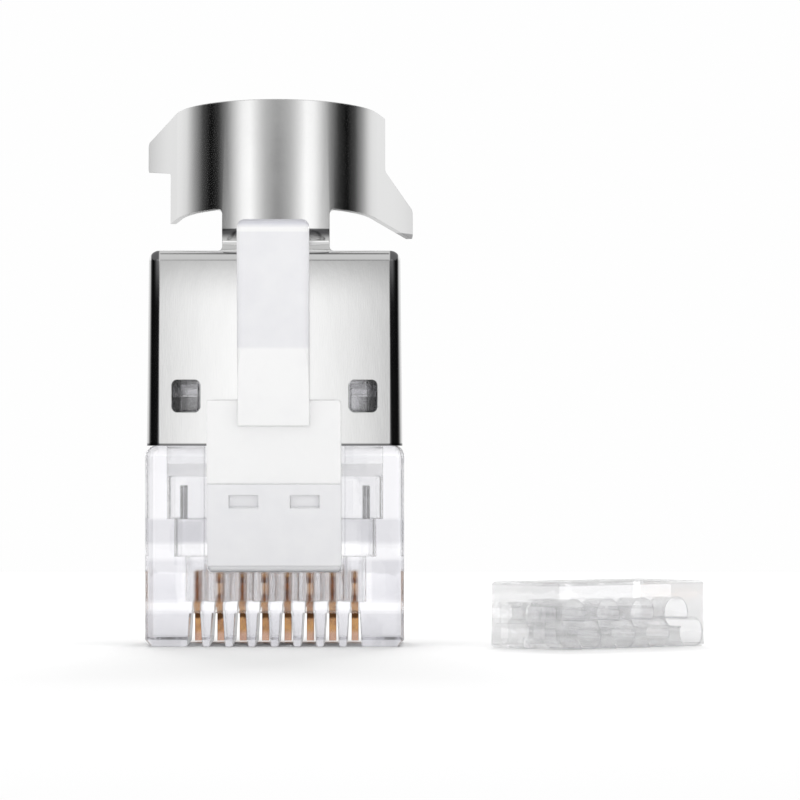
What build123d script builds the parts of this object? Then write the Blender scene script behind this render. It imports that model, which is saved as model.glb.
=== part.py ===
from build123d import *

import os
from math import cos, radians, sin, sqrt, tan

# A shielded eight-way modular plug with its wire organiser, in millimetres.
# +Z runs from the nose to the cable end, -Y is the latch side, +Y is the contact side, and the
# origin is the middle of the nose face that the plug stands on.

# Clear body
BODY_WIDTH = 11.6
NOSE_THICK = 6.6
NOSE_LENGTH = 9.0
BODY_EDGE_R = 0.35
SHOULDER_R = 0.5
NOSE_CHAMFER = 0.3
CORE_CLEAR = 0.05
WALL = 0.8

# Gold contact blades and the comb that holds them
CONTACT_COUNT = 8
CONTACT_PITCH = 1.02
BLADE_THICK = 0.32
BLADE_SIDE_CLEAR = 0.04
BLADE_END_CLEAR = 0.08
BLADE_LENGTH = 3.2
BLADE_SPINE = 1.5
BLADE_NOSE_LEG = 1.6
BLADE_PROUD = 0.45
BLADE_NOSE_R = 0.5
BLADE_HEEL_R = 0.2
PRONG_WIDTH = 0.52
PRONG_POINT = 0.3
SHORT_PRONGS = 3
LONG_PRONGS = 2
PRONG_LIFT = 0.15
PRONG_CLEAR = 0.1
CRIMP_TRAVEL = 1.03
GAP_END_Z = 1.5
GAP_ROOF_WIDTH = 0.49
FINGER_TIP_R = 0.1
FINGER_TIP_FLAT = 0.16

# Wire channels in two staggered rows
WIRE_BORE_R = 0.53
UPPER_ROW_Y = 0.62
ROW_STEP = 0.92
CHANNEL_END_Z = 1.95

# Stepped cavity behind the wire channels
BAR_BAY_Z = 4.0
BAR_FIT = 0.1
GUIDE_BAY_Z = 5.7
GUIDE_BAY_WIDTH = 9.72
GUIDE_BAY_LIFT = 0.3
CABLE_BAY_Z = 9.4
BAY_CORNER_R = 0.4
LEAD_IN_Z = 7.6
LEAD_IN_DEPTH = 0.6
GROOVE_X = 4.1
GROOVE_WIDTH = 0.32
GROOVE_DEPTH = 0.4
GROOVE_END_Z = 7.2

# Folded metal shell
SHEET = 0.25
SHELL_THICK = 8.0
SHELL_REAR_Z = 17.75
SHELL_INSET = 0.075
SHELL_DRAFT = 0.1
SHELL_CORNER_R = 0.5
SHELL_ROLL_R = 0.45
SHELL_LIP = 0.25
SEAM_GAP = 0.1

# Windows of the shell and the wedges of the body that snap into them
WINDOW_X = 3.97
WINDOW_WIDTH = 1.27
WINDOW_LOW_Z = 10.5
WINDOW_HEIGHT = 1.46
WINDOW_R = 0.25
WEDGE_CLEAR = 0.08
WEDGE_FLAT = 0.6

# Neck and open crimp collar, bent from the same sheet as the shell
NECK_WIDTH = 4.82
NECK_VALLEY_Z = 18.2
NECK_CORNER_R = 0.22
NECK_BASE_R = 0.2
COLLAR_CREASE_Z = 18.7
COLLAR_LOW_Z = 19.73
COLLAR_HEIGHT = 4.87
COLLAR_BORE_R = 4.4
COLLAR_SHIFT_X = 0.05
COLLAR_FRONT_GAP = 0.25
COLLAR_HALF_ANGLE = 77.0
COLLAR_LEAN = 7.5
HIGH_WING_ROOT = 1.5
HIGH_WING_REACH = 6.9
HIGH_WING_ROOT_HEIGHT = 2.56
LOW_WING_ROOT = 1.6
LOW_WING_REACH = 7.25
LOW_WING_ROOT_HEIGHT = 2.45
WING_TIP_HEIGHT = 1.35
HIGH_WING_DROP = 0.28
LOW_WING_RISE = 0.15
WING_TIP_R = 0.3
WING_ROOT_R = 0.2

# Latch and the pivot line at its root
LATCH_WIDTH = 6.0
LATCH_THICK = 0.75
LATCH_ANGLE = 18.0
LATCH_SIDE_CLEAR = 0.15
HINGE_R = 0.42
HINGE_CLEAR = 0.04
HINGE_Z = 3.75
SHOULDER_Z = 11.05
PAD_END_Z = 7.3
PAD_RAISE = 0.1
PAD_DENT_WIDTH = 1.3
PAD_DENT_HEIGHT = 0.6
PAD_DENT_DEPTH = 0.2
PAD_DENT_X = 1.37
PAD_DENT_Z = 6.65
TAB_WIDTH = 3.2
TAB_THICK = 0.9
TAB_RAISE = 0.3
TAB_START_Z = 9.9
TAB_BEND_Z = 13.35
TAB_END_Z = 18.92
TAB_END_ANGLE = 9.0
TAB_CORNER_R = 0.35
TAB_TIP_R = 0.3
LATCH_CORNER_R = 0.13

# Load bar, taken out and lying on the floor beside the plug
BAR_WIDTH = 8.9
BAR_LENGTH = 4.65
BAR_THICK = 2.95
BAR_EDGE_R = 0.25
BAR_EDGE_CUT = 0.12
BAR_UPPER_DEPTH = 1.41
BAR_HOLE_R = 0.5
LOBE_R = 0.69
LOBE_PULL = 0.05
LOBE_DEPTH = 2.3
LOBE_TAPER = 0.4
BAR_NOTCH = 0.5
BAR_REST_X = 14.5
BAR_REST_Y = -3.0
BAR_TURN = 40.0

# Room that a cutting shape runs past the surface it opens
PAST = 0.5

# Values worked out from the sizes above
LATCH_FACE_Y = -NOSE_THICK / 2
CONTACT_FACE_Y = NOSE_THICK / 2
SHELL_MID_Y = LATCH_FACE_Y + SHELL_THICK / 2
SHELL_BACK_Y = LATCH_FACE_Y + SHELL_THICK
SHELL_RIM = SHELL_ROLL_R + SHELL_LIP
LOWER_ROW_Y = UPPER_ROW_Y - ROW_STEP
SLOT_WIDTH = BLADE_THICK + 2 * BLADE_SIDE_CLEAR
BLADE_END_Z = BLADE_END_CLEAR + BLADE_LENGTH
BLADE_TOP_Y = CONTACT_FACE_Y + BLADE_PROUD
BLADE_SPINE_Y = BLADE_TOP_Y - BLADE_SPINE
HINGE_Y = LATCH_FACE_Y + HINGE_R
TROUGH_FLOOR_Y = HINGE_Y + HINGE_R + HINGE_CLEAR
COLLAR_OUTER_R = COLLAR_BORE_R + SHEET
COLLAR_FRONT_Y = LATCH_FACE_Y - COLLAR_FRONT_GAP
COLLAR_AXIS_Y = COLLAR_FRONT_Y + COLLAR_OUTER_R
COLLAR_HIGH_Z = COLLAR_LOW_Z + COLLAR_HEIGHT
CORE_INSET = SHEET + CORE_CLEAR
CORE_REAR_Z = SHELL_REAR_Z - SHEET - CORE_CLEAR


def contact_x(index):
    """X of a contact slot, wire channel or bar hole, counted from 0 at -X."""
    return (index - (CONTACT_COUNT - 1) / 2) * CONTACT_PITCH


def in_upper_row(index):
    """Whether a wire runs in the row nearer to the contacts."""
    return index % 2 == 0


def row_y(index):
    return UPPER_ROW_Y if in_upper_row(index) else LOWER_ROW_Y


def shell_width(z):
    """Outer width of the shell, which narrows towards the cable end."""
    share = (z - NOSE_LENGTH) / (SHELL_REAR_Z - NOSE_LENGTH)
    return BODY_WIDTH - 2 * SHELL_INSET - 2 * SHELL_DRAFT * share


def block(x_size, y_low, y_high, z_low, z_high, x=0):
    """A box centred on x, given by its limits along Y and Z."""
    size = (x_size, y_high - y_low, z_high - z_low)
    return Pos(x, (y_low + y_high) / 2, (z_low + z_high) / 2) * Box(*size)


def drafted_block(inset, z_low, z_high):
    """The shell's outer form, shrunk by inset on every side, between two heights."""
    sections = [
        Pos(0, SHELL_MID_Y, z)
        * RectangleRounded(shell_width(z) - 2 * inset, SHELL_THICK - 2 * inset, SHELL_CORNER_R - inset)
        for z in (z_low, z_high)
    ]
    return loft(sections)


def side_profile(points, width):
    """A closed outline of (y, z) points, made a solid of this width centred on x = 0."""
    outline = make_face(Plane.YZ * Polyline(*points, close=True))
    return extrude(outline, amount=width / 2, both=True)


# Clear body
def nose_block():
    body = block(BODY_WIDTH, LATCH_FACE_Y, CONTACT_FACE_Y, 0, NOSE_LENGTH)
    body = fillet(body.edges().filter_by(Axis.Z), BODY_EDGE_R)
    body = chamfer(body.faces().sort_by(Axis.Z)[0].outer_wire().edges(), NOSE_CHAMFER)
    rear_ends = body.edges().filter_by(Axis.Y).group_by(Axis.Z)[-1]
    return fillet(rear_ends, SHOULDER_R)


def snap_wedges():
    """Two wedges whose ramps face the cable end, so that the shell slides on and locks."""
    low_z = WINDOW_LOW_Z + WEDGE_CLEAR
    high_z = WINDOW_LOW_Z + WINDOW_HEIGHT - WEDGE_CLEAR
    root_y = LATCH_FACE_Y + CORE_INSET + CORE_CLEAR
    top_y = LATCH_FACE_Y
    ramp = [(root_y, low_z), (top_y, low_z), (top_y, low_z + WEDGE_FLAT), (root_y, high_z)]
    width = WINDOW_WIDTH - 2 * WEDGE_CLEAR
    outline = Plane.XZ * RectangleRounded(width, high_z - low_z, WINDOW_R - WEDGE_CLEAR)
    outline = Pos(0, LATCH_FACE_Y, (low_z + high_z) / 2) * extrude(outline, amount=2 * SHEET, both=True)
    wedge = side_profile(ramp, width) & outline
    return [Pos(side * WINDOW_X) * wedge for side in (-1, 1)]


def latch_trough():
    """Pocket under the latch, with the round seat of its root at the nose end."""
    width = LATCH_WIDTH + 2 * LATCH_SIDE_CLEAR
    seat_r = HINGE_R + HINGE_CLEAR
    pocket = block(width, LATCH_FACE_Y - PAST, TROUGH_FLOOR_Y, HINGE_Z, NOSE_LENGTH + PAST)
    front = block(width, LATCH_FACE_Y - PAST, HINGE_Y, HINGE_Z - seat_r, HINGE_Z)
    seat = Pos(0, HINGE_Y, HINGE_Z) * Rot(0, 90, 0) * Cylinder(seat_r, width)
    return pocket + front + seat


def finger_gap():
    """Gap between two fingers of the comb, right through the nose, flaring past their round tips."""
    half_pitch = CONTACT_PITCH / 2
    roof = (GAP_ROOF_WIDTH / 2, GAP_END_Z)
    mouth = (half_pitch - FINGER_TIP_FLAT / 2, 0)
    waist = (mouth[0] - FINGER_TIP_R, FINGER_TIP_R)
    flank = Line(roof, waist) + RadiusArc(waist, mouth, -FINGER_TIP_R)
    floor = Line(mouth, (mouth[0], -PAST)) + Line((mouth[0], -PAST), (0, -PAST))
    half = make_face(Line((0, -PAST), (0, GAP_END_Z)) + Line((0, GAP_END_Z), roof) + flank + floor)
    outline = Plane.XZ * (half + mirror(half, Plane.YZ))
    return extrude(outline, amount=NOSE_THICK / 2 + PAST, both=True)


def contact_slot(index):
    """Room for one blade, down to where its prongs end once they are pressed into the wire."""
    end_z = BLADE_END_Z + BLADE_END_CLEAR
    floor_y = row_y(index) + WIRE_BORE_R + PRONG_LIFT - CRIMP_TRAVEL - PRONG_CLEAR
    slot = block(SLOT_WIDTH, floor_y, CONTACT_FACE_Y + PAST, GAP_END_Z - PAST, end_z)
    return Pos(contact_x(index)) * (slot + finger_gap())


def wire_channel(index):
    """Round blind channel that guides one wire under its blade."""
    length = BAR_BAY_Z + PAST - CHANNEL_END_Z
    return Pos(contact_x(index), row_y(index), CHANNEL_END_Z + length / 2) * Cylinder(WIRE_BORE_R, length)


def bay(width, y_low, y_high, z_low, z_high):
    """A length of the cavity, with rounded corners."""
    section = Pos(0, (y_low + y_high) / 2, z_low) * RectangleRounded(width, y_high - y_low, BAY_CORNER_R)
    return extrude(section, amount=z_high - z_low)


def cavity():
    """Three steps: a snug seat for the load bar, a guide length and the wide cable bay."""
    bar_low = UPPER_ROW_Y + BAR_UPPER_DEPTH - BAR_THICK - BAR_FIT
    bar_high = UPPER_ROW_Y + BAR_UPPER_DEPTH + BAR_FIT
    guide_low = bar_low - GUIDE_BAY_LIFT
    seat = bay(BAR_WIDTH + 2 * BAR_FIT, bar_low, bar_high, BAR_BAY_Z, GUIDE_BAY_Z + PAST)
    guide = bay(GUIDE_BAY_WIDTH, guide_low, bar_high, GUIDE_BAY_Z, CABLE_BAY_Z + PAST)
    cable_low = LATCH_FACE_Y + CORE_INSET + WALL
    cable_high = SHELL_BACK_Y - CORE_INSET - WALL
    cable_width = shell_width(SHELL_REAR_Z) - 2 * (CORE_INSET + WALL)
    cable = bay(cable_width, cable_low, cable_high, CABLE_BAY_Z, CORE_REAR_Z + PAST)
    lead_in = [
        (bar_high, LEAD_IN_Z),
        (guide_low, LEAD_IN_Z),
        (guide_low - LEAD_IN_DEPTH, LEAD_IN_Z + LEAD_IN_DEPTH),
        (guide_low - LEAD_IN_DEPTH, CABLE_BAY_Z + PAST),
        (bar_high, CABLE_BAY_Z + PAST),
    ]
    return seat + guide + cable + side_profile(lead_in, GUIDE_BAY_WIDTH)


def guide_grooves():
    """Two V-shaped grooves beside the latch that lead the load bar's corners into its seat."""
    floor_y = UPPER_ROW_Y + BAR_UPPER_DEPTH - BAR_THICK - BAR_FIT - GUIDE_BAY_LIFT
    half = GROOVE_WIDTH / 2
    section = Polygon(
        (-half, floor_y), (0, floor_y - GROOVE_DEPTH), (half, floor_y), (half, floor_y + PAST),
        (-half, floor_y + PAST), align=None,
    )
    groove = Pos(0, 0, GUIDE_BAY_Z) * extrude(section, amount=GROOVE_END_Z - GUIDE_BAY_Z, dir=(0, 0, 1))
    return [Pos(side * GROOVE_X) * groove for side in (-1, 1)]


def housing():
    core = drafted_block(CORE_INSET, NOSE_LENGTH - PAST, CORE_REAR_Z)
    core = chamfer(core.faces().sort_by(Axis.Z)[-1].outer_wire().edges(), SHELL_ROLL_R - CORE_INSET)
    core -= block(BODY_WIDTH, CONTACT_FACE_Y, SHELL_BACK_Y, 0, NOSE_LENGTH)
    body = nose_block() + core + snap_wedges()
    body -= cavity()
    body -= latch_trough()
    body -= [wire_channel(index) for index in range(CONTACT_COUNT)]
    body -= [contact_slot(index) for index in range(CONTACT_COUNT)]
    return body - guide_grooves()


# Contacts
def contact(index):
    """A blade in its raised, uncrimped place: flat back, rounded nose and piercing prongs."""
    tip_y = row_y(index) + WIRE_BORE_R + PRONG_LIFT
    count = SHORT_PRONGS if in_upper_row(index) else LONG_PRONGS
    first_z = BLADE_END_CLEAR + BLADE_NOSE_LEG + PRONG_WIDTH / 2
    step = (BLADE_END_Z - PRONG_WIDTH / 2 - first_z) / (count - 1)
    spine = block(BLADE_THICK, BLADE_SPINE_Y, BLADE_TOP_Y, BLADE_END_CLEAR, BLADE_END_Z)
    top_ends = spine.edges().filter_by(Axis.X).group_by(Axis.Y)[-1].sort_by(Axis.Z)
    spine = fillet(top_ends[0], BLADE_NOSE_R)
    spine = fillet(spine.edges().filter_by(Axis.X).group_by(Axis.Y)[-1].sort_by(Axis.Z)[-1], BLADE_HEEL_R)
    half = PRONG_WIDTH / 2
    for number in range(count):
        z = first_z + number * step
        point = [
            (BLADE_SPINE_Y + PAST / 2, z - half),
            (tip_y + PRONG_POINT, z - half),
            (tip_y, z),
            (tip_y + PRONG_POINT, z + half),
            (BLADE_SPINE_Y + PAST / 2, z + half),
        ]
        spine += side_profile(point, BLADE_THICK)
    return Pos(contact_x(index)) * spine


# Metal shield
def shell():
    outer = drafted_block(0, NOSE_LENGTH, SHELL_REAR_Z)
    outer = fillet(outer.faces().sort_by(Axis.Z)[-1].outer_wire().edges(), SHELL_ROLL_R)
    inner = drafted_block(SHEET, NOSE_LENGTH - PAST, SHELL_REAR_Z - SHEET)
    inner = fillet(inner.faces().sort_by(Axis.Z)[-1].outer_wire().edges(), SHELL_ROLL_R - SHEET)
    mouth_width = shell_width(SHELL_REAR_Z) - 2 * SHELL_RIM
    mouth = RectangleRounded(mouth_width, SHELL_THICK - 2 * SHELL_RIM, BAY_CORNER_R)
    mouth = Pos(0, SHELL_MID_Y, SHELL_REAR_Z) * extrude(mouth, amount=PAST, both=True)
    seam = block(SEAM_GAP, SHELL_MID_Y, SHELL_BACK_Y + PAST, NOSE_LENGTH - PAST, SHELL_REAR_Z + PAST)
    window = Plane.XZ * RectangleRounded(WINDOW_WIDTH, WINDOW_HEIGHT, WINDOW_R)
    window = extrude(window, amount=SHEET, both=True)
    window_z = WINDOW_LOW_Z + WINDOW_HEIGHT / 2
    windows = [Pos(side * WINDOW_X, LATCH_FACE_Y, window_z) * window for side in (-1, 1)]
    return outer - inner - mouth - seam - windows


def collar_sector(z_low, z_high):
    """Part of a tube about the cable's line, open towards +Y."""
    reach = 2 * COLLAR_OUTER_R
    ring = Circle(COLLAR_OUTER_R) - Circle(COLLAR_BORE_R)
    edge = (reach * sin(radians(COLLAR_HALF_ANGLE)), -reach * cos(radians(COLLAR_HALF_ANGLE)))
    keep = Polygon((0, 0), (-edge[0], edge[1]), (-reach, -reach), (reach, -reach), edge)
    sector = extrude(ring & keep, amount=z_high - z_low)
    return Pos(COLLAR_SHIFT_X, COLLAR_AXIS_Y, z_low) * sector


def wing(side, outline):
    """A flat wing that carries on straight from the end of the curved band."""
    angle = radians(COLLAR_HALF_ANGLE)
    start = Vector(
        COLLAR_SHIFT_X + side * COLLAR_BORE_R * sin(angle), COLLAR_AXIS_Y - COLLAR_BORE_R * cos(angle), 0
    )
    along = Vector(side * cos(angle), sin(angle), 0)
    plane = Plane(origin=start, x_dir=along, z_dir=along.cross(Vector(0, 0, 1)))
    return extrude(plane * outline, amount=side * SHEET)


def high_wing():
    """Wing whose upper part reaches on and narrows towards its tip."""
    root_z = COLLAR_HIGH_Z - HIGH_WING_ROOT_HEIGHT
    tip_z = COLLAR_HIGH_Z - HIGH_WING_DROP
    outline = Polygon(
        (0, COLLAR_LOW_Z), (HIGH_WING_ROOT, COLLAR_LOW_Z), (HIGH_WING_ROOT, root_z),
        (HIGH_WING_REACH, tip_z - WING_TIP_HEIGHT), (HIGH_WING_REACH, tip_z), (0, COLLAR_HIGH_Z),
    )
    outline = fillet(outline.vertices().group_by(Axis.X)[-1], WING_TIP_R)
    inner_corner = outline.vertices().filter_by_position(Axis.Y, root_z, root_z)
    return wing(-1, fillet(inner_corner, WING_ROOT_R))


def low_wing():
    """Wing whose lower part reaches on, so that the two wings close side by side."""
    root_z = COLLAR_LOW_Z + LOW_WING_ROOT_HEIGHT
    tip_z = COLLAR_LOW_Z + LOW_WING_RISE
    outline = Polygon(
        (0, COLLAR_LOW_Z), (LOW_WING_REACH, tip_z), (LOW_WING_REACH, tip_z + WING_TIP_HEIGHT),
        (LOW_WING_ROOT, root_z), (LOW_WING_ROOT, COLLAR_HIGH_Z), (0, COLLAR_HIGH_Z),
    )
    outline = fillet(outline.vertices().group_by(Axis.X)[-1], WING_TIP_R)
    inner_corner = outline.vertices().filter_by_position(Axis.Y, root_z, root_z)
    return wing(1, fillet(inner_corner, WING_ROOT_R))


def beside_neck():
    """The two gaps under the collar's band, one each side of the neck."""
    reach = COLLAR_OUTER_R
    width = reach + PAST - NECK_WIDTH / 2
    height = COLLAR_LOW_Z - COLLAR_CREASE_Z + PAST
    gap = Rectangle(width, height, align=(Align.MIN, Align.MAX))
    gap = fillet(gap.vertices().group_by(Axis.X)[0].sort_by(Axis.Y)[-1], NECK_CORNER_R)
    gap = extrude(Plane.XZ * gap, amount=reach * 2, both=True)
    right = Pos(NECK_WIDTH / 2, COLLAR_AXIS_Y, COLLAR_LOW_Z) * gap
    return Pos(COLLAR_SHIFT_X) * (right + mirror(right, Plane.YZ))


def lean(shape):
    """Turn the collar back about its crease, away from the latch side."""
    crease = Axis((0, COLLAR_FRONT_Y, COLLAR_CREASE_Z), (1, 0, 0))
    return shape.rotate(crease, -COLLAR_LEAN)


def collar():
    band = collar_sector(COLLAR_CREASE_Z, COLLAR_HIGH_Z) - beside_neck()
    return lean(band + high_wing() + low_wing())


def neck():
    """Strip that rises from the lip of the shell's rear edge and flares out to the collar."""
    valley_y = LATCH_FACE_Y + SHELL_RIM
    strip = Rectangle(NECK_WIDTH, NECK_VALLEY_Z - SHELL_REAR_Z, align=(Align.CENTER, Align.MIN))
    strip += Rectangle(NECK_WIDTH + 2 * NECK_BASE_R, SHEET, align=(Align.CENTER, Align.MAX))
    strip = fillet(strip.vertices().filter_by_position(Axis.Y, 0, 0).sort_by(Axis.X)[1:-1], NECK_BASE_R)
    rolled = Pos(COLLAR_SHIFT_X, valley_y + SHEET, SHELL_REAR_Z) * extrude(Plane.XZ * strip, amount=SHEET)
    low = Pos(COLLAR_SHIFT_X, valley_y + SHEET / 2, NECK_VALLEY_Z) * Rectangle(NECK_WIDTH, SHEET)
    tongue = collar_sector(COLLAR_CREASE_Z, COLLAR_LOW_Z) & block(
        NECK_WIDTH, COLLAR_FRONT_Y, COLLAR_AXIS_Y, COLLAR_CREASE_Z, COLLAR_LOW_Z, COLLAR_SHIFT_X
    )
    high = lean(tongue).faces().sort_by(Axis.Z)[0]
    return rolled + loft([low.face(), high])


def shield():
    return shell() + neck() + collar()


# Latch
def plate_point(along, outward, start=(HINGE_Y, HINGE_Z), angle=LATCH_ANGLE):
    """(y, z) of a point along a plate that leans out by angle, and outward from its middle."""
    lean_angle = radians(angle)
    y = start[0] - along * sin(lean_angle) - outward * cos(lean_angle)
    z = start[1] + along * cos(lean_angle) - outward * sin(lean_angle)
    return (y, z)


def along_at(z, outward):
    """How far along the latch plate a point of it reaches this height."""
    lean_angle = radians(LATCH_ANGLE)
    return (z - HINGE_Z + outward * sin(lean_angle)) / cos(lean_angle)


def latch_plate():
    """Wide part with the two shoulders that catch in the socket."""
    half = LATCH_THICK / 2
    raised = half + PAD_RAISE
    outline = [
        plate_point(0, -half),
        plate_point(along_at(SHOULDER_Z, -half), -half),
        plate_point(along_at(SHOULDER_Z, half), half),
        plate_point(along_at(PAD_END_Z, half), half),
        plate_point(along_at(PAD_END_Z, raised), raised),
        plate_point(0, raised),
    ]
    plate = side_profile(outline, LATCH_WIDTH)
    ends = plate.edges().filter_by(Axis.X, reverse=True).group_by(Axis.Z)
    return fillet(ends[-1], LATCH_CORNER_R)


def latch_tab():
    """Narrow finger tab, raised over the shoulders and bent a little towards the cable."""
    top = LATCH_THICK / 2 + TAB_RAISE
    under = top - TAB_THICK
    bend = plate_point(along_at(TAB_BEND_Z, top), top)
    rest = (TAB_END_Z - bend[1]) / cos(radians(TAB_END_ANGLE))
    fold = TAB_THICK * tan(radians(LATCH_ANGLE - TAB_END_ANGLE) / 2)
    outline = [
        plate_point(along_at(TAB_START_Z, under), under),
        plate_point(-fold, -TAB_THICK, bend, TAB_END_ANGLE),
        plate_point(rest, -TAB_THICK, bend, TAB_END_ANGLE),
        plate_point(rest, 0, bend, TAB_END_ANGLE),
        bend,
        plate_point(along_at(TAB_START_Z, top), top),
    ]
    tab = side_profile(outline, TAB_WIDTH)
    tip_corners = tab.faces().sort_by(Axis.Z)[-1].edges().filter_by(Axis.X, reverse=True)
    tab = fillet(tip_corners, TAB_CORNER_R)
    tip_edge = tab.edges().filter_by(Axis.X).sort_by(Axis.Y)[0]
    return fillet(tip_edge, TAB_TIP_R)


def latch():
    root = Cylinder(HINGE_R, LATCH_WIDTH)
    root = chamfer(root.edges().filter_by(GeomType.CIRCLE), LATCH_CORNER_R)
    body = Pos(0, HINGE_Y, HINGE_Z) * Rot(0, 90, 0) * root + latch_plate() + latch_tab()
    dent_centre = plate_point(along_at(PAD_DENT_Z, 0), LATCH_THICK / 2 + PAD_RAISE)
    dent = Box(PAD_DENT_WIDTH, 2 * PAD_DENT_DEPTH, PAD_DENT_HEIGHT)
    for side in (-1, 1):
        body -= Pos(side * PAD_DENT_X, *dent_centre) * Rot(LATCH_ANGLE, 0, 0) * dent
    return body


# Load bar
def bar_hole(index):
    """One wire hole right through the bar, with a wide lobed mouth on the cable side."""
    upper = in_upper_row(index)
    pull = LOBE_PULL if upper else -LOBE_PULL
    height = BAR_THICK - BAR_UPPER_DEPTH - (0 if upper else ROW_STEP)
    hole = Pos(contact_x(index), 0, height) * Rot(90, 0, 0) * Cylinder(BAR_HOLE_R, BAR_LENGTH + PAST)
    mouth_y = -BAR_LENGTH / 2
    lobe = Cylinder(LOBE_R, LOBE_DEPTH * 2)
    taper = Cone(LOBE_R, BAR_HOLE_R, LOBE_TAPER)
    centre = contact_x(index) + pull
    lobe = Pos(centre, mouth_y, height) * Rot(90, 0, 0) * lobe
    taper = Pos(centre, mouth_y + LOBE_DEPTH + LOBE_TAPER / 2, height) * Rot(-90, 0, 0) * taper
    return hole + lobe + taper


def load_bar():
    bar = Pos(0, 0, BAR_THICK / 2) * Box(BAR_WIDTH, BAR_LENGTH, BAR_THICK)
    bar = fillet(bar.edges().filter_by(Axis.Z), BAR_EDGE_R)
    bar = chamfer(bar.faces().filter_by(Axis.Z).edges(), BAR_EDGE_CUT)
    bar -= [bar_hole(index) for index in range(CONTACT_COUNT)]
    notch = Rot(0, 45, 0) * Box(BAR_NOTCH * sqrt(2), BAR_LENGTH, BAR_NOTCH * sqrt(2))
    bar -= Pos(-BAR_WIDTH / 2, -BAR_LENGTH / 2, 0) * notch
    return Pos(BAR_REST_X, BAR_REST_Y, 0) * Rot(0, 0, BAR_TURN) * bar


def main():
    os.makedirs("parts", exist_ok=True)
    nodes = {"housing": housing(), "latch": latch(), "shield": shield(), "load_bar": load_bar()}
    for index in range(CONTACT_COUNT):
        nodes[f"contact_{index + 1}"] = contact(index)
    for name, shape in nodes.items():
        export_step(shape, f"parts/{name}.step")


main()
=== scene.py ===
"""Looks of a shielded eight-way modular plug and its wire organiser.

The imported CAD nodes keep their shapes, and this file gives each one its finish: clear and frosted
polycarbonate, nickel plate on folded sheet, and gold plate on stamped blades. A white studio with a
pale floor and a long lens stands round them. Lengths are in metres, patterns in millimetres.
"""

import logging
import math
from abc import ABC, abstractmethod
from dataclasses import dataclass, field
from enum import Enum

import bmesh
import bpy
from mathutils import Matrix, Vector

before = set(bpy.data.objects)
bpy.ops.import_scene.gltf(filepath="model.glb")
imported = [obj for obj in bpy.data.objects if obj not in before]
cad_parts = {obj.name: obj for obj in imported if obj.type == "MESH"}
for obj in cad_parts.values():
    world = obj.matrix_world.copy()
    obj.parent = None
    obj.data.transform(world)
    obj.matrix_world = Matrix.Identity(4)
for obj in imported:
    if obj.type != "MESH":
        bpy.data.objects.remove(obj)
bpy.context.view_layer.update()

MM = 0.001
BEVEL_SAMPLES = 4
EDGE_LIKENESS = (0.86, 0.995)
POLYCARBONATE_IOR = 1.58
log = logging.getLogger("plug")

Number = float | int
Colour = tuple[float, float, float, float]


def grey(level: float) -> Colour:
    """An opaque neutral colour of this linear level."""
    return (level, level, level, 1.0)


class Wire:
    """An output socket that takes part in Python arithmetic: each operator adds its Math node."""

    def __init__(self, tree: "Tree", socket: bpy.types.NodeSocket) -> None:
        """Holds a socket of a tree.

        Args:
            tree: The node tree that new nodes go into.
            socket: The output that this wire starts from.
        """
        self.tree = tree
        self.socket = socket

    def maths(self, operation: str, *others: "Wire | Number") -> "Wire":
        """Puts this value and up to two others through a Math node.

        Args:
            operation: The Math node's operation.
            others: The values of its second and third sockets.

        Returns:
            The node's output.
        """
        sockets = dict(enumerate((self, *others)))
        return self.tree.out("ShaderNodeMath", {"operation": operation}, sockets)

    def __add__(self, other: "Wire | Number") -> "Wire":
        """This value plus another."""
        return self.maths("ADD", other)

    __radd__ = __add__

    def __sub__(self, other: "Wire | Number") -> "Wire":
        """This value less another."""
        return self.maths("SUBTRACT", other)

    def __rsub__(self, other: Number) -> "Wire":
        """A number less this value."""
        return self.maths("MULTIPLY", -1.0) + other

    def __mul__(self, other: "Wire | Number") -> "Wire":
        """This value times another."""
        return self.maths("MULTIPLY", other)

    __rmul__ = __mul__

    def __truediv__(self, other: "Wire | Number") -> "Wire":
        """This value over another."""
        return self.maths("DIVIDE", other)

    def __abs__(self) -> "Wire":
        """This value without its sign."""
        return self.maths("ABSOLUTE")

    def at_least(self, low: Number) -> "Wire":
        """The larger of this value and a number."""
        return self.maths("MAXIMUM", low)

    def step(self, low: float, high: float) -> "Wire":
        """Rises smoothly from 0 to 1 as this value goes from low to high.

        Args:
            low: Where the rise starts.
            high: Where it ends.

        Returns:
            The smooth step.
        """
        settings = {"interpolation_type": "SMOOTHSTEP"}
        sockets = {"Value": self, "From Min": low, "From Max": high}
        return self.tree.out("ShaderNodeMapRange", settings, sockets)

    def between(self, low: float, high: float, soft: float = 0.05) -> "Wire":
        """Is 1 from low to high and 0 outside, with soft ends.

        Args:
            low: Where it is fully up.
            high: Where it starts to fall.
            soft: The length of each end.

        Returns:
            The window.
        """
        return self.step(low - soft, low) * (1 - self.step(high, high + soft))


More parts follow.
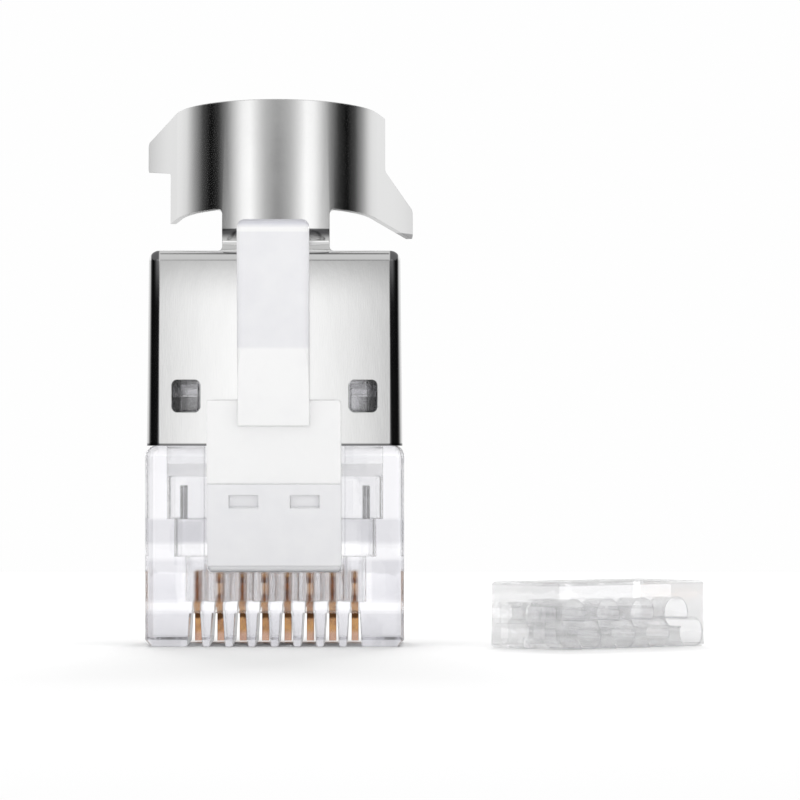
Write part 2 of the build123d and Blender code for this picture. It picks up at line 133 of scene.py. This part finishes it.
class Tree:
    """The nodes of one material or of the world."""

    def __init__(self, owner: bpy.types.Material | bpy.types.World) -> None:
        """Clears the owner's nodes, ready to build.

        Args:
            owner: The material or world that the nodes belong to.
        """
        owner.use_nodes = True
        self.nodes = owner.node_tree.nodes
        self.links = owner.node_tree.links
        self.nodes.clear()

    def add(self, kind: str, settings: dict | None = None, sockets: dict | None = None) -> bpy.types.Node:
        """Adds any node.

        Args:
            kind: The node's type.
            settings: Its properties, set before its sockets; "stops" holds a ramp's positions and colours.
            sockets: Values or wires by socket name or number.

        Returns:
            The new node.
        """
        node = self.nodes.new(kind)
        for name, value in (settings or {}).items():
            if name == "stops":
                self._set_stops(node.color_ramp, value)
            else:
                setattr(node, name, value)
        for name, value in (sockets or {}).items():
            if isinstance(value, Wire):
                self.links.new(value.socket, node.inputs[name])
            else:
                node.inputs[name].default_value = value
        return node

    @staticmethod
    def _set_stops(ramp: bpy.types.ColorRamp, stops: list[tuple[float, float]]) -> None:
        """Gives a ramp its stops, as pairs of position and grey level."""
        ramp.interpolation = "LINEAR"
        while len(ramp.elements) < len(stops):
            ramp.elements.new(1.0)
        for element, (place, level) in zip(ramp.elements, stops):
            element.position = place
            element.color = grey(level)

    def out(
        self, kind: str, settings: dict | None = None, sockets: dict | None = None, name: str | int = 0
    ) -> Wire:
        """Adds a node and takes one of its outputs.

        Args:
            kind: The node's type.
            settings: Its properties.
            sockets: Values or wires by socket name or number.
            name: The output's name or number.

        Returns:
            That output.
        """
        return Wire(self, self.add(kind, settings, sockets).outputs[name])

    def place(self) -> Wire:
        """The point on the piece, in millimetres of the part's frame."""
        point = self.out("ShaderNodeTexCoord", name="Object")
        return self.out("ShaderNodeVectorMath", {"operation": "SCALE"}, {0: point, "Scale": 1 / MM})

    def axes(self, vector: Wire) -> tuple[Wire, Wire, Wire]:
        """The three numbers of a vector."""
        parts = self.add("ShaderNodeSeparateXYZ", sockets={0: vector})
        return tuple(Wire(self, output) for output in parts.outputs)

    def stretched(self, vector: Wire, scales: tuple[float, float, float]) -> Wire:
        """The vector with each axis multiplied by its own scale."""
        return self.out("ShaderNodeVectorMath", {"operation": "MULTIPLY"}, {0: vector, 1: scales})

    def noise(self, vector: Wire, scale: float, detail: float = 3.0, roughness: float = 0.5) -> Wire:
        """Soft noise about zero, from -0.5 to 0.5.

        Args:
            vector: Where it is read.
            scale: How many of its lumps fit in a unit of the vector.
            detail: How many finer layers it has.
            roughness: How strong those are.

        Returns:
            The noise.
        """
        sockets = {"Vector": vector, "Scale": scale, "Detail": detail, "Roughness": roughness}
        return self.out("ShaderNodeTexNoise", sockets=sockets) - 0.5

    def ramp(self, stops: tuple[tuple[float, float], ...], value: Wire) -> Wire:
        """Reads a level along a ramp.

        Args:
            stops: The ramp's positions and levels.
            value: Where it is read, from 0 to 1.

        Returns:
            The level.
        """
        return self.out("ShaderNodeValToRGB", {"stops": stops}, {0: value})

    def mix_colour(self, share: Wire | Number, first: Wire | Colour, second: Wire | Colour) -> Wire:
        """Goes from the first colour to the second as share goes from 0 to 1."""
        return self.out("ShaderNodeMix", {"data_type": "RGBA"}, {0: share, 6: first, 7: second}, 2)

    def edge(self, radius: float) -> Wire:
        """Marks the sharp edges of a piece.

        Args:
            radius: How far from the edge the mark reaches, in millimetres.

        Returns:
            1 on the edge, falling to 0 away from it.
        """
        rounded = self.out("ShaderNodeBevel", {"samples": BEVEL_SAMPLES}, {"Radius": radius * MM})
        flat = self.out("ShaderNodeNewGeometry", name="Normal")
        settings = {"operation": "DOT_PRODUCT"}
        alike = self.out("ShaderNodeVectorMath", settings, {0: rounded, 1: flat}, "Value")
        return 1 - alike.step(*EDGE_LIKENESS)

    def bumped(self, height: Wire, edge_radius: float) -> Wire:
        """A surface normal with rounded edges and a relief.

        Args:
            height: The relief's height in millimetres.
            edge_radius: The radius of the piece's edges in millimetres.

        Returns:
            The normal.
        """
        rounded = self.out("ShaderNodeBevel", {"samples": BEVEL_SAMPLES}, {"Radius": edge_radius * MM})
        sockets = {"Strength": 1.0, "Distance": MM, "Height": height, "Normal": rounded}
        return self.out("ShaderNodeBump", sockets=sockets)


@dataclass(frozen=True)
class Finish(ABC):
    """What a surface is made of, as one procedural material."""

    edge_radius: float = 0.05
    absorbs: float = 0.0
    depth_colour: Colour = (0.0, 0.0, 0.0, 1.0)

    @abstractmethod
    def shade(self, tree: Tree) -> bpy.types.Node:
        """Builds the finish's nodes and returns its shader."""

    def material(self, name: str) -> bpy.types.Material:
        """Makes the material.

        Args:
            name: The material's name.

        Returns:
            The material, ready for a piece's slot.
        """
        material = bpy.data.materials.new(name)
        tree = Tree(material)
        sockets = {"Surface": Wire(tree, self.shade(tree).outputs[0])}
        if self.absorbs:
            depth = {"Color": self.depth_colour, "Density": self.absorbs / MM}
            sockets["Volume"] = tree.out("ShaderNodeVolumeAbsorption", sockets=depth)
        tree.add("ShaderNodeOutputMaterial", sockets=sockets)
        return material


@dataclass(frozen=True)
class ClearPolycarbonate(Finish):
    """Clear moulded polycarbonate: glossy, with the slow waves of shrinkage and a few fine scratches, and
    painted reflection and a painted dark rim in its base colour.
    """

    edge_radius: float = 0.07
    absorbs: float = 0.03
    depth_colour: Colour = (0.02, 0.0, 0.14, 1.0)
    # Painted light: a lit tint and a shaded tint of the plastic, which painted reflection mixes between.
    painted_lit_tint: Colour = (0.98, 0.98, 0.99, 1.0)
    painted_shade_tint: Colour = (0.93, 0.93, 0.95, 1.0)
    # Painted shade: a dark rim along the edges, more opaque there, for the dark lines that the edges
    # refract.
    painted_rim_shade: Colour = (0.12, 0.12, 0.14, 1.0)
    painted_rim_cover: float = 0.5
    opacity: float = 0.42
    roughness: float = 0.02
    wave_scale: float = 0.7
    wave_height: float = 0.005
    grain_scale: float = 9.0
    grain_blur: float = 0.03
    scratch_scales: tuple[float, float, float] = (22.0, 22.0, 1.6)
    scratch_range: tuple[float, float] = (0.16, 0.3)
    scratch_depth: float = 0.0006
    scratch_blur: float = 0.12
    reflection_block_scales: tuple[float, float, float] = (0.75, 0.3, 0.5)
    reflection_block_jitter: float = 0.6
    reflection_block_share: float = 0.7
    mean_reflection: float = 0.5

    def shade(self, tree: Tree) -> bpy.types.Node:
        """Builds the finish's nodes and returns its shader."""
        place = tree.place()
        waves = tree.noise(place, self.wave_scale, detail=1.0)
        grain = tree.noise(place, self.grain_scale)
        scratches = tree.noise(tree.stretched(place, self.scratch_scales), 1.0, detail=2.0)
        scratches = scratches.step(*self.scratch_range)
        height = waves * self.wave_height + scratches * -self.scratch_depth
        # Painted reflection: the base colour goes between the shaded and the lit tint.
        body = tree.mix_colour(self.painted_reflection(tree, place), self.painted_shade_tint, self.painted_lit_tint)
        edge = tree.edge(self.edge_radius)
        sockets = {
            # Painted shade: the dark rim along the edges.
            "Base Color": tree.mix_colour(edge, body, self.painted_rim_shade),
            "Roughness": scratches * self.scratch_blur + grain * self.grain_blur + self.roughness,
            "IOR": POLYCARBONATE_IOR,
            "Transmission Weight": 1.0,
            "Alpha": edge * self.painted_rim_cover + self.cover(tree, place),
            "Normal": tree.bumped(height, self.edge_radius),
        }
        return tree.add("ShaderNodeBsdfPrincipled", sockets=sockets)

    def painted_reflection(self, tree: Tree, place: Wire) -> Wire:
        """How much painted reflection the plastic shows, from 0 for the shaded tint to 1 for the lit one,
        here from the random blocks alone.
        """
        return self.reflection_blocks(tree, place) * self.reflection_block_share + self.mean_reflection

    def cover(self, tree: Tree, place: Wire) -> Wire | float:
        """How much of the light the surface bends, the rest going straight through."""
        return self.opacity

    def reflection_blocks(self, tree: Tree, place: Wire) -> Wire:
        """Painted reflection in blocks, a random level for each, from -0.5 to 0.5.

        Args:
            tree: The tree that the nodes go into.
            place: The point on the piece, in millimetres.

        Returns:
            One level for each block.
        """
        reflection_cells = tree.stretched(place, self.reflection_block_scales)
        sockets = {"Vector": reflection_cells, "Scale": 1.0, "Randomness": self.reflection_block_jitter}
        return tree.out("ShaderNodeTexVoronoi", {"distance": "CHEBYCHEV"}, sockets, "Color") - 0.5


@dataclass(frozen=True)
class BodyPolycarbonate(ClearPolycarbonate):
    """The clear body's plastic, with painted reflection in its base colour: grey and bright bands by
    height.
    """

    # Painted light: a grey shaded tint, a white lit tint and a grey painted rim.
    painted_shade_tint: Colour = (0.52, 0.52, 0.555, 1.0)
    painted_lit_tint: Colour = (1.0, 1.0, 1.0, 1.0)
    painted_rim_shade: Colour = (0.42, 0.42, 0.45, 1.0)
    painted_rim_cover: float = 0.15
    opacity: float = 0.82
    wave_height: float = 0.008
    nose_length: float = 9.0
    # Painted reflection: bright and grey bands by height up the nose.
    painted_band_stops: tuple[tuple[float, float], ...] = (
        (0.0, 0.42), (0.163, 0.42), (0.167, 1.0), (0.215, 1.0), (0.222, 0.42), (0.42, 0.46), (0.433, 0.9),
        (0.505, 0.9), (0.515, 0.5), (0.63, 0.5), (0.64, 0.68), (1.0, 0.74),
    )
    reflection_block_share: float = 0.35
    # Painted reflection: brighter walls beside the bays.
    wall_x: float = 4.86
    wall_soft: float = 0.03
    wall_share: float = 0.3
    bay_z: float = 5.7
    bay_soft: float = 0.05
    channel_x: float = 4.3
    channel_soft: float = 0.1
    channel_z: tuple[float, float] = (1.95, 4.0)
    channel_share: float = 0.52
    ramp_z: tuple[float, float] = (7.6, 8.2)
    ramp_y: tuple[float, float] = (-1.95, -1.3)
    ramp_share: float = 0.65

    def painted_reflection(self, tree: Tree, place: Wire) -> Wire:
        """Painted reflection at each height, with brighter walls beside the bays."""
        x, _, z = tree.axes(place)
        # Painted reflection: bands by height, brighter walls beside the bays, and random blocks.
        painted_bands = tree.ramp(self.painted_band_stops, z / self.nose_length)
        beside = abs(x).step(self.wall_x - self.wall_soft, self.wall_x)
        painted_wall_reflection = beside * z.step(self.bay_z - self.bay_soft, self.bay_z)
        return painted_bands + painted_wall_reflection * self.wall_share + self.reflection_blocks(tree, place) * self.reflection_block_share

    def cover(self, tree: Tree, place: Wire) -> Wire:
        """Lets more light straight through where the wire channels and the bay's ramp would go dark."""
        x, y, z = tree.axes(place)
        inside = 1 - abs(x).step(self.channel_x, self.channel_x + self.channel_soft)
        channels = z.between(*self.channel_z) * inside
        ramp = z.between(*self.ramp_z) * y.between(*self.ramp_y)
        return (1 - channels * self.channel_share - ramp * self.ramp_share) * self.opacity


@dataclass(frozen=True)
class FrostedPolycarbonate(Finish):
    """Polycarbonate with a spark-eroded skin: milky, faintly lavender and soft to the light, with painted
    shade and a painted highlight.
    """

    edge_radius: float = 0.09
    body: Colour = (1.0, 1.0, 1.0, 1.0)
    # Lavender that carries painted shade and the random clouds.
    painted_shade_and_cloud_tint: Colour = (0.70, 0.70, 0.76, 1.0)
    pad_z: tuple[float, float] = (7.25, 7.35)
    pad_share: float = 0.28
    tab_z: tuple[float, float] = (13.25, 13.45)
    tab_share: float = 0.38
    end_z: tuple[float, float] = (18.7, 18.9)
    end_share: float = 0.6
    # A painted highlight just under the tip's end.
    painted_highlight_z: tuple[float, float] = (18.54, 18.64)
    painted_highlight_soft: float = 0.1
    painted_highlight_share: float = 0.4
    cloud_share: float = 0.3
    roughness: float = 0.34
    transmission: float = 0.15
    skin_scale: float = 26.0
    skin_height: float = 0.0035
    skin_blur: float = 0.2
    cloud_scale: float = 0.9
    cloud_height: float = 0.006

    def shade(self, tree: Tree) -> bpy.types.Node:
        """Builds the finish's nodes and returns its shader."""
        place = tree.place()
        skin = tree.noise(place, self.skin_scale, detail=4.0, roughness=0.65)
        cloud = tree.noise(place, self.cloud_scale, detail=3.0)
        height = skin * self.skin_height + cloud * self.cloud_height
        _, _, z = tree.axes(place)
        # Painted shade: darker above the tab's bend, at the tip's end and on the pad low in the nose; the
        # painted highlight is lighter.
        tab = z.step(*self.tab_z) * self.tab_share
        end = z.step(*self.end_z) * self.end_share
        painted_highlight = z.between(*self.painted_highlight_z, self.painted_highlight_soft)
        pad = 1 - z.step(*self.pad_z)
        # Share of lavender: painted shade, less the painted highlight, plus random clouds.
        depth = tab + end + pad * self.pad_share - painted_highlight * self.painted_highlight_share + cloud * self.cloud_share
        sockets = {
            "Base Color": tree.mix_colour(depth, self.body, self.painted_shade_and_cloud_tint),
            "Roughness": skin * self.skin_blur + self.roughness,
            "IOR": POLYCARBONATE_IOR,
            "Transmission Weight": self.transmission,
            "Normal": tree.bumped(height, self.edge_radius),
        }
        return tree.add("ShaderNodeBsdfPrincipled", sockets=sockets)


@dataclass(frozen=True)
class NickelPlate(Finish):
    """Bright nickel on folded sheet: rolling grain, handling marks and slightly bowed walls.

    The corners of the shell are darker in base colour, a painted reflection of their tight bends, and so
    is the fold under the collar, as painted shade.
    The sheared front edge is darker too: the raw unplated edge, with painted shade along it.
    """

    edge_radius: float = 0.05
    metal: Colour = (0.95, 0.95, 0.947, 1.0)
    dull: Colour = (0.84, 0.84, 0.83, 1.0)
    # Dark for the painted reflection at the corners, the painted shade in the fold and the raw sheared
    # edge with its painted shade.
    painted_dark_and_raw_edge: Colour = (0.10, 0.10, 0.105, 1.0)
    roughness: float = 0.09
    collar_roughness: float = 0.12
    bow_radius: float = 75.0
    sheared_z: tuple[float, float] = (9.06, 9.14)
    rear_z: float = 17.75
    rear_soft: float = 0.4
    rear_fall: float = 2.85
    rear_slope: float = 0.05
    corner_x: tuple[float, float] = (5.2, 5.5)
    corner_soft: float = 0.06
    wing_y: float = 2.5
    wing_radius: float = 70.0
    crease_rise_z: tuple[float, float] = (18.2, 18.56)
    crease_fall_z: tuple[float, float] = (18.7, 18.76)
    rolling_scales: tuple[float, float, float] = (38.0, 38.0, 2.2)
    rolling_height: float = 0.0006
    rolling_blur: float = 0.04
    smear_scales: tuple[float, float, float] = (1.1, 1.1, 0.5)
    smear_height: float = 0.003
    smear_blur: float = 0.05
    rub_scales: tuple[float, float, float] = (2.5, 2.5, 16.0)
    rub_range: tuple[float, float] = (0.17, 0.34)
    rub_blur: float = 0.06
    rub_share: float = 0.4
    speckle_scale: float = 16.0
    speckle_range: tuple[float, float] = (0.1, 0.4)
    speckle_share: float = 0.35
    sheared_share: float = 0.85
    crease_share: float = 0.95
    corner_share: float = 0.9

    def shade(self, tree: Tree) -> bpy.types.Node:
        """Builds the finish's nodes and returns its shader."""
        place = tree.place()
        x, y, z = tree.axes(place)
        rolling = tree.noise(tree.stretched(place, self.rolling_scales), 1.0, detail=3.0, roughness=0.6)
        smears = tree.noise(tree.stretched(place, self.smear_scales), 1.0, detail=4.0)
        rubs = tree.noise(tree.stretched(place, self.rub_scales), 1.0, detail=4.0).step(*self.rub_range)
        near_rear = (z - (self.rear_z - self.rear_fall)).at_least(0.0)
        beyond = z.step(self.rear_z, self.rear_z + self.rear_soft)
        on_shell = 1 - beyond
        rear = near_rear * near_rear * (-self.rear_slope / (2 * self.rear_fall))
        bow = x * x / (-2 * self.bow_radius) + rear
        along_wing = (y - self.wing_y).at_least(0.0)
        curl = along_wing * along_wing * beyond / (-2 * self.wing_radius)
        height = bow * on_shell + curl + rolling * self.rolling_height + smears * self.smear_height
        speckle = tree.noise(place, self.speckle_scale, detail=2.0).step(*self.speckle_range)
        marks = rubs * self.rub_share + speckle * self.speckle_share
        worn = tree.mix_colour(marks, self.metal, self.dull)
        # The raw sheared edge with painted shade along it, painted shade in the fold under the collar, and
        # a painted dark reflection at the corners.
        sheared = 1 - z.step(*self.sheared_z)
        crease = z.step(*self.crease_rise_z) * (1 - z.step(*self.crease_fall_z))
        corner = abs(x).between(*self.corner_x, self.corner_soft) * on_shell
        polish = on_shell * self.roughness + beyond * self.collar_roughness
        roughness = polish + rolling * self.rolling_blur + smears * self.smear_blur + rubs * self.rub_blur
        # Share of dark: painted shade, painted reflection and the raw edge.
        dark = sheared * self.sheared_share + crease * self.crease_share + corner * self.corner_share
        sockets = {
            "Base Color": tree.mix_colour(dark, worn, self.painted_dark_and_raw_edge),
            "Metallic": 1.0,
            "Roughness": roughness,
            "Normal": tree.bumped(height, self.edge_radius),
        }
        return tree.add("ShaderNodeBsdfPrincipled", sockets=sockets)


@dataclass(frozen=True)
class GoldPlate(Finish):
    """Thin gold on stamped phosphor bronze: bright flats, coppery sheared sides with fine drag lines."""

    edge_radius: float = 0.03
    gold: Colour = (0.70, 0.40, 0.18, 1.0)
    copper: Colour = (0.48, 0.25, 0.15, 1.0)
    burr: Colour = (0.74, 0.48, 0.38, 1.0)
    # A dark band across each blade at about 1.28 mm height.
    dark_band: Colour = (0.10, 0.04, 0.012, 1.0)
    burr_z: tuple[float, float] = (0.35, 0.6)
    burr_share: float = 0.8
    dark_band_z: float = 1.28
    dark_band_reach: tuple[float, float] = (0.1, 0.24)
    dark_band_share: float = 0.95
    copper_range: tuple[float, float] = (-0.12, 0.2)
    roughness: float = 0.2
    drag_scales: tuple[float, float, float] = (30.0, 4.0, 30.0)
    drag_height: float = 0.0025
    drag_blur: float = 0.18
    stain_scale: float = 2.3
    stain_height: float = 0.004
    stain_blur: float = 0.12
    stain_shift: float = 0.3

    def shade(self, tree: Tree) -> bpy.types.Node:
        """Builds the finish's nodes and returns its shader."""
        place = tree.place()
        drag = tree.noise(tree.stretched(place, self.drag_scales), 1.0, detail=3.0)
        stain = tree.noise(place, self.stain_scale, detail=4.0)
        height = drag * self.drag_height + stain * self.stain_height
        _, _, z = tree.axes(place)
        shifted = z + stain * self.stain_shift
        burr = 1 - shifted.step(*self.burr_z)
        # A dark band across each blade at about 1.28 mm height, wavering with the stains.
        dark_band = 1 - abs(shifted - self.dark_band_z).step(*self.dark_band_reach)
        plate = tree.mix_colour(stain.step(*self.copper_range), self.gold, self.copper)
        plate = tree.mix_colour(burr * self.burr_share, plate, self.burr)
        sockets = {
            "Base Color": tree.mix_colour(dark_band * self.dark_band_share, plate, self.dark_band),
            "Metallic": 1.0,
            "Roughness": drag * self.drag_blur + stain * self.stain_blur + self.roughness,
            "Normal": tree.bumped(height, self.edge_radius),
        }
        return tree.add("ShaderNodeBsdfPrincipled", sockets=sockets)


@dataclass(frozen=True)
class MattBoard(Finish):
    """Pale matt board that the plug stands on."""

    edge_radius: float = 0.0
    pale: Colour = grey(0.9)
    fleck: Colour = grey(0.897)
    fibre_scale: float = 0.8
    roughness: float = 0.9

    def shade(self, tree: Tree) -> bpy.types.Node:
        """Builds the finish's nodes and returns its shader."""
        fibre = tree.noise(tree.place(), self.fibre_scale, detail=3.0)
        sockets = {
            "Base Color": tree.mix_colour(fibre.step(-0.5, 0.5), self.fleck, self.pale),
            "Roughness": self.roughness,
            "Specular IOR Level": 0.0,
        }
        return tree.add("ShaderNodeBsdfPrincipled", sockets=sockets)


def dress(node: str, material: bpy.types.Material) -> None:
    """Gives a CAD node its material.

    Args:
        node: The CAD node's name.
        material: What its slot then holds.
    """
    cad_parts[node].material_slots[0].material = material
    log.info("%s dressed as %s", node, material.name)


@dataclass
class Housing:
    """The clear body with its nose, contact comb and stepped cavity."""

    finish: Finish = field(default_factory=BodyPolycarbonate)

    def build(self) -> None:
        """Dresses the body."""
        dress("housing", self.finish.material("clear_housing"))


@dataclass
class Latch:
    """The frosted release latch."""

    finish: Finish = field(default_factory=FrostedPolycarbonate)

    def build(self) -> None:
        """Dresses the latch."""
        dress("latch", self.finish.material("frosted_latch_skin"))


@dataclass
class Shield:
    """The folded metal shell with its neck and open collar."""

    finish: Finish = field(default_factory=NickelPlate)

    def build(self) -> None:
        """Dresses the shield."""
        dress("shield", self.finish.material("nickel_plate"))


@dataclass
class ContactRow:
    """The eight stamped blades."""

    count: int = 8
    finish: Finish = field(default_factory=GoldPlate)

    def build(self) -> None:
        """Dresses each blade with the same plate."""
        plate = self.finish.material("gold_plate")
        for number in range(1, self.count + 1):
            dress(f"contact_{number}", plate)


@dataclass
class LoadBar:
    """The clear wire organiser that lies beside the plug."""

    finish: Finish = field(default_factory=lambda: ClearPolycarbonate(absorbs=0.005))

    def build(self) -> None:
        """Dresses the bar."""
        dress("load_bar", self.finish.material("clear_load_bar"))


class RayKind(Enum):
    """The kinds of ray that the studio's dome answers differently, by their Light Path output."""

    CAMERA = "Is Camera Ray"
    GLOSSY = "Is Glossy Ray"
    TRANSMITTED = "Is Transmission Ray"


@dataclass
class Studio:
    """White dome, pale floor, soft lamp at the back and long lens.

    A mirror-like surface sees a level band with one soft box behind the camera, above it a band with
    two tall soft boxes between dark flags, a pale roof, and an even grey underneath in place of the
    floor. Clear plastic sees white in front of it and behind it and grey flags at its sides. The
    camera sees white, and everything else a fill that is brighter on the camera's side.
    """

    white: float = 0.992
    fill: float = 0.9
    front_fill: float = 0.5
    floor_size: float = 0.25
    floor_gap: float = 0.01 * MM
    lamp_at: tuple[float, float, float] = (0.0, 0.40, 0.20)
    lamp_size: tuple[float, float] = (0.24, 0.18)
    lamp_watts: float = 1.75
    eye: tuple[float, float, float] = (5.62 * MM, -303.3 * MM, 11.05 * MM)
    lens_mm: float = 301.5
    low_centre: float = 0.0106
    low_band: tuple[tuple[float, float], ...] = (
        (0.0, 1.06), (0.0125, 1.03), (0.023, 0.96), (0.034, 0.87), (0.042, 0.78), (0.055, 0.58),
        (0.075, 0.24), (0.10, 0.06), (0.14, 0.02), (0.5, 0.02), (0.55, 0.1), (0.62, 0.34), (0.68, 0.6),
        (0.75, 0.74), (0.84, 0.8), (0.87, 0.74), (0.93, 0.42), (1.0, 0.5),
    )
    low_to_high_z: tuple[float, float] = (0.03, 0.16)
    high_centre: float = -0.006
    high_band: tuple[tuple[float, float], ...] = (
        (0.0, 0.20), (0.024, 0.24), (0.074, 0.41), (0.124, 0.74), (0.175, 1.12), (0.227, 0.98),
        (0.281, 0.60), (0.337, 0.22), (0.396, 0.03), (0.459, 0.0), (0.528, 0.06), (0.607, 0.34),
        (0.703, 0.86), (0.846, 1.0), (1.0, 0.95),
    )
    right_lag: float = 0.04
    underfoot: float = 0.66
    underfoot_z: tuple[float, float] = (-0.16, -0.08)
    roof_band: tuple[tuple[float, float], ...] = ((0.0, 0.55), (0.97, 0.6), (0.995, 0.15), (1.0, 0.1))
    roof_z: tuple[float, float] = (0.275, 0.34)
    through_band: tuple[tuple[float, float], ...] = (
        (0.0, 1.0), (0.2, 0.92), (0.4, 0.74), (0.46, 0.35), (0.54, 0.35), (0.6, 0.74), (0.8, 1.0),
        (0.92, 1.3), (0.97, 1.25), (1.0, 1.15),
    )
    roof_through: float = 1.1
    roof_through_z: tuple[float, float] = (0.3, 0.6)
    clip: tuple[float, float] = (0.01, 10.0)

    def build(self) -> None:
        """Makes the floor, the dome, the lamp and the camera."""
        self._lay_floor()
        self._hang_dome()
        self._hang_lamp()
        self._set_camera()
        bpy.context.scene.view_settings.view_transform = "Standard"

    def _lay_floor(self) -> None:
        """Lays the board that the plug stands on, a hair under height zero."""
        board = bmesh.new()
        bmesh.ops.create_grid(board, x_segments=1, y_segments=1, size=self.floor_size / 2)
        bmesh.ops.translate(board, verts=board.verts, vec=(0.0, 0.0, -self.floor_gap))
        mesh = bpy.data.meshes.new("floor")
        board.to_mesh(mesh)
        board.free()
        floor = bpy.data.objects.new("floor", mesh)
        mesh.materials.append(MattBoard().material("matt_board"))
        floor.visible_glossy = False
        bpy.context.scene.collection.objects.link(floor)

    def _hang_dome(self) -> None:
        """Shines the dome's light from all sides."""
        world = bpy.data.worlds.new("dome")
        bpy.context.scene.world = world
        world.cycles.sampling_method = "NONE"
        tree = Tree(world)
        x, y, z = tree.axes(tree.out("ShaderNodeTexCoord", name="Generated"))
        turn = x.maths("ARCTAN2", -1 * y) / math.pi
        skewed = turn - turn.at_least(0.0) * self.right_lag
        low = tree.ramp(self.low_band, abs(skewed + self.low_centre))
        high = tree.ramp(self.high_band, abs(skewed + self.high_centre))
        roof = tree.ramp(self.roof_band, z)
        seen = tree.mix_colour(z.step(*self.low_to_high_z), low, high)
        seen = tree.mix_colour(z.step(*self.roof_z), seen, roof)
        seen = tree.mix_colour(z.step(*self.underfoot_z), grey(self.underfoot), seen)
        through = tree.ramp(self.through_band, abs(turn))
        through = tree.mix_colour(z.step(*self.roof_through_z), through, grey(self.roof_through))
        rays = tree.add("ShaderNodeLightPath")
        ray = {kind: Wire(tree, rays.outputs[kind.value]) for kind in RayKind}
        plain = y * (-self.fill * self.front_fill) + self.fill
        plain = tree.mix_colour(ray[RayKind.CAMERA], plain, grey(self.white))
        plain = tree.mix_colour(ray[RayKind.GLOSSY], plain, seen)
        light = tree.mix_colour(ray[RayKind.TRANSMITTED], plain, through)
        dome = tree.out("ShaderNodeBackground", sockets={"Color": light})
        tree.add("ShaderNodeOutputWorld", sockets={"Surface": dome})

    def _hang_lamp(self) -> None:
        """Hangs the soft lamp behind the plug, which throws the shadow towards the camera."""
        lamp = bpy.data.lights.new("back_lamp", "AREA")
        lamp.shape = "RECTANGLE"
        lamp.size, lamp.size_y = self.lamp_size
        lamp.energy = self.lamp_watts
        hung = bpy.data.objects.new("back_lamp", lamp)
        hung.location = self.lamp_at
        hung.rotation_euler = (-Vector(self.lamp_at)).to_track_quat("-Z", "Y").to_euler()
        hung.visible_camera = hung.visible_glossy = hung.visible_transmission = False
        bpy.context.scene.collection.objects.link(hung)

    def _set_camera(self) -> None:
        """Sets the long lens level with the middle of the plug, looking along +Y."""
        camera = bpy.data.objects.new("camera", bpy.data.cameras.new("camera"))
        camera.data.lens = self.lens_mm
        camera.data.clip_start, camera.data.clip_end = self.clip
        camera.location = self.eye
        camera.rotation_euler = (math.radians(90), 0.0, 0.0)
        bpy.context.scene.collection.objects.link(camera)
        bpy.context.scene.camera = camera


def main() -> None:
    """Builds each sub-assembly in order."""
    logging.basicConfig(level=logging.INFO, format="%(name)s: %(message)s")
    for assembly in (Housing(), Latch(), Shield(), ContactRow(), LoadBar(), Studio()):
        assembly.build()
        log.info("%s done", type(assembly).__name__)


if __name__ == "__main__":
    main()
